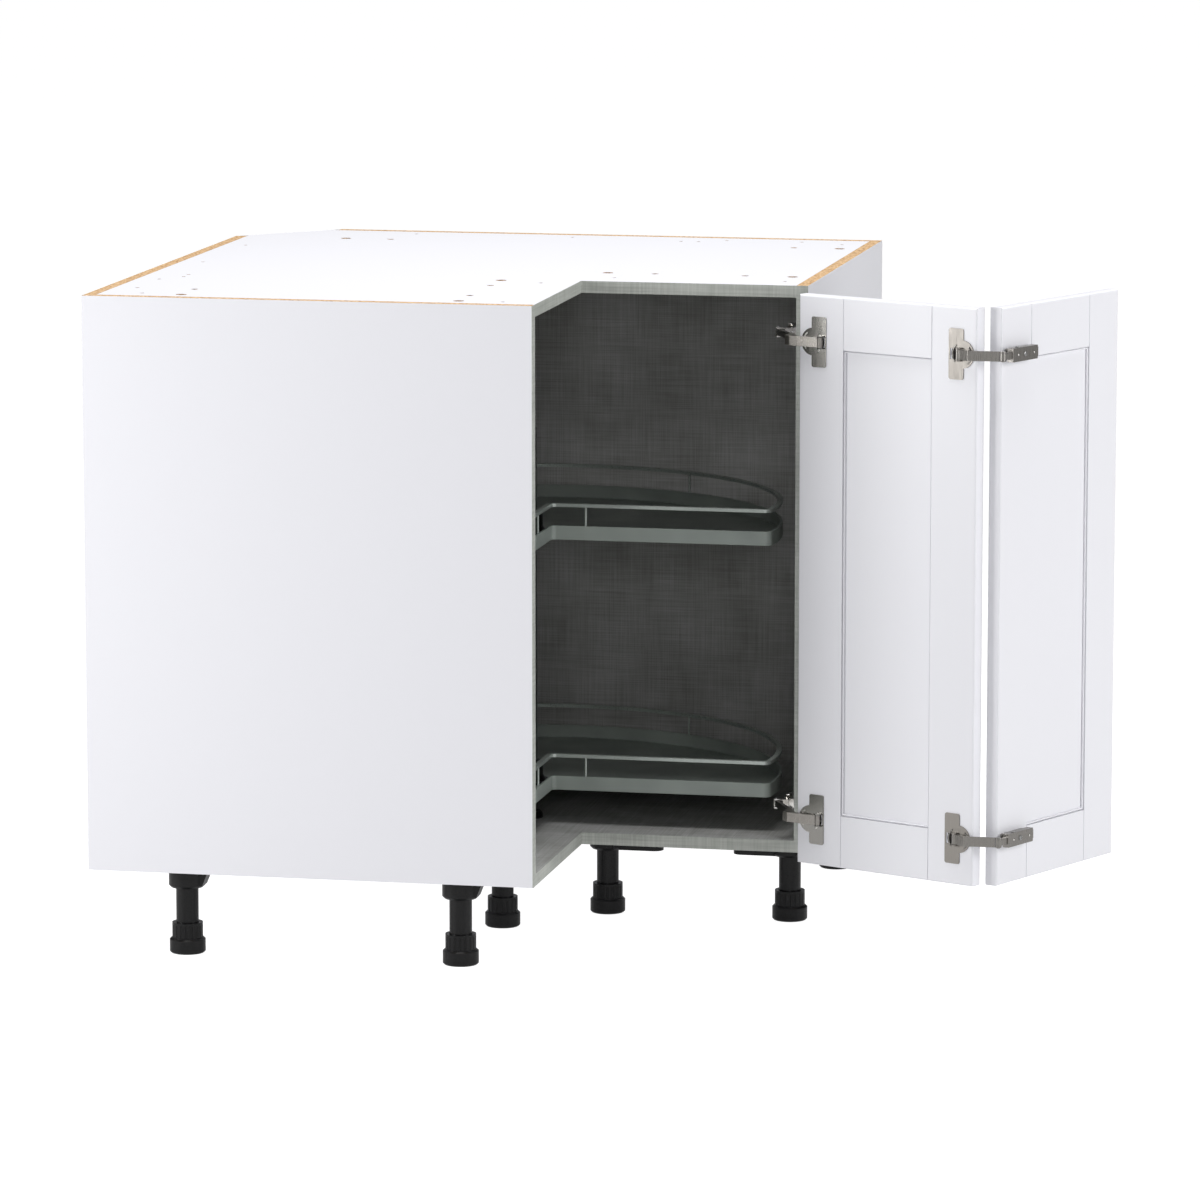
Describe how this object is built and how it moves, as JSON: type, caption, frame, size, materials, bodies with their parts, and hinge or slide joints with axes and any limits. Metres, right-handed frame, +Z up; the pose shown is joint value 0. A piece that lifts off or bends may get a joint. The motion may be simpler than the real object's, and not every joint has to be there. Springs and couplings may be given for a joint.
{
  "type": "corner carousel cabinet",
  "caption": "Corner base cabinet on adjustable legs with a folding door on wide-angle hinges and turning pie-cut trays on a central post.",
  "frame": {"origin": "on the floor, under the middle of the box round the whole object as it stands open", "axes": "+Z up, +X along the front of the left wing away from the left wall, +Y towards the rear wall"},
  "size_m": [1.3192, 0.914, 0.882],
  "materials": {
    "beech": "bare dowel",
    "black_nylon": "moulded",
    "door_paint": "satin white foil on fibre board",
    "edge_band": "grey woven-look edge band",
    "hardboard": "thin white board",
    "hinge_chrome": "bright plated",
    "hinge_nickel": "nickel plated",
    "leg_plastic": "moulded black",
    "pin_steel": "turned",
    "post_steel": "bright tube",
    "tray_paint": "textured grey paint",
    "white_foil": "satin white foil on chipboard"
  },
  "bodies": {
    "carcass": {"left_end_panel": "white_foil", "right_end_panel": "white_foil", "left_wall_panel": "white_foil", "rear_wall_panel": "white_foil", "corner_back_panel": "hardboard", "top_panel": "white_foil", "bottom_panel": "white_foil", "front_edge_bands": "edge_band", "board_dowels": "beech", "post_lower_tube": "post_steel", "post_upper_tube": "post_steel", "floor_bearing": "black_nylon", "ceiling_bearing": "black_nylon", "tray_collars": "black_nylon", "hinge_mounting_plates": "hinge_chrome", "hinge_arms": "hinge_chrome", "hinge_arm_pins": "pin_steel", "leg_sockets": "leg_plastic", "leg_tubes": "leg_plastic"},
    "inner_link": {"inner_hinge_links": "hinge_chrome"},
    "outer_link": {"outer_hinge_links": "hinge_chrome", "link_pins": "pin_steel"},
    "hung_leaf": {"hung_leaf_hinge_stile": "door_paint", "hung_leaf_fold_stile": "door_paint", "hung_leaf_top_rail": "door_paint", "hung_leaf_bottom_rail": "door_paint", "hung_leaf_panel": "door_paint", "hinge_cups": "hinge_chrome", "cup_pins": "pin_steel", "fold_hinge_cups": "hinge_nickel", "fold_cup_pins": "pin_steel"},
    "fold_link": {"fold_hinge_links": "hinge_nickel", "fold_arm_pins": "pin_steel"},
    "folding_leaf": {"fold_hinge_arms": "hinge_nickel", "fold_mounting_plates": "hinge_nickel", "fold_leaf_inner_stile": "door_paint", "fold_leaf_free_stile": "door_paint", "fold_leaf_top_rail": "door_paint", "fold_leaf_bottom_rail": "door_paint", "fold_leaf_panel": "door_paint"},
    "lower_tray": {"lower_tray": "tray_paint", "lower_tray_rail": "tray_paint", "lower_tray_hub": "black_nylon"},
    "upper_tray": {"upper_tray": "tray_paint", "upper_tray_rail": "tray_paint", "upper_tray_hub": "black_nylon"},
    "foot_1": {"foot_1": "leg_plastic"},
    "foot_2": {"foot_2": "leg_plastic"},
    "foot_3": {"foot_3": "leg_plastic"},
    "foot_4": {"foot_4": "leg_plastic"},
    "foot_5": {"foot_5": "leg_plastic"},
    "foot_6": {"foot_6": "leg_plastic"},
    "foot_7": {"foot_7": "leg_plastic"}
  },
  "joints": [
    {"name": "door_swing", "type": "hinge", "parent": "carcass", "child": "inner_link", "pos_m": [0.21141, -0.1345, 0.178], "axis": [0, 0, 1], "range_deg": [-139.86, 0]},
    {"name": "outer_link_swing", "type": "hinge", "parent": "inner_link", "child": "outer_link", "pos_m": [0.24024, -0.18939, 0.178], "axis": [0, 0, 1], "range_deg": [-0.5, 159.6]},
    {"name": "hung_leaf_swing", "type": "hinge", "parent": "outer_link", "child": "hung_leaf", "pos_m": [0.28735, -0.24384, 0.178], "axis": [0, 0, 1], "range_deg": [-174.74, 0.5]},
    {"name": "fold_link_swing", "type": "hinge", "parent": "hung_leaf", "child": "fold_link", "pos_m": [0.48537, -0.33618, 0.178], "axis": [0, 0, -1], "range_deg": [-0.5, 30.5]},
    {"name": "leaf_fold", "type": "hinge", "parent": "fold_link", "child": "folding_leaf", "pos_m": [0.54564, -0.34773, 0.178], "axis": [0, 0, -1], "range_deg": [0, 30]},
    {"name": "lower_tray_turn", "type": "hinge", "parent": "carcass", "child": "lower_tray", "pos_m": [-0.15159, -0.051, 0.178], "axis": [0, 0, 1], "range_deg": [0, 540]},
    {"name": "upper_tray_turn", "type": "hinge", "parent": "carcass", "child": "upper_tray", "pos_m": [-0.15159, -0.051, 0.523], "axis": [0, 0, 1], "range_deg": [0, 540]},
    {"name": "foot_1_height", "type": "slide", "parent": "carcass", "child": "foot_1", "axis": [0, 0, -1], "range_m": [0, 0.02]},
    {"name": "foot_2_height", "type": "slide", "parent": "carcass", "child": "foot_2", "axis": [0, 0, -1], "range_m": [0, 0.02]},
    {"name": "foot_3_height", "type": "slide", "parent": "carcass", "child": "foot_3", "axis": [0, 0, -1], "range_m": [0, 0.02]},
    {"name": "foot_4_height", "type": "slide", "parent": "carcass", "child": "foot_4", "axis": [0, 0, -1], "range_m": [0, 0.02]},
    {"name": "foot_5_height", "type": "slide", "parent": "carcass", "child": "foot_5", "axis": [0, 0, -1], "range_m": [0, 0.02]},
    {"name": "foot_6_height", "type": "slide", "parent": "carcass", "child": "foot_6", "axis": [0, 0, -1], "range_m": [0, 0.02]},
    {"name": "foot_7_height", "type": "slide", "parent": "carcass", "child": "foot_7", "axis": [0, 0, -1], "range_m": [0, 0.02]}
  ],
  "couplings": [
    {"joint": "outer_link_swing", "follows": "door_swing", "ratio": -1.1376},
    {"joint": "hung_leaf_swing", "follows": "door_swing", "ratio": 1.2458},
    {"joint": "fold_link_swing", "follows": "leaf_fold", "ratio": 1}
  ]
}
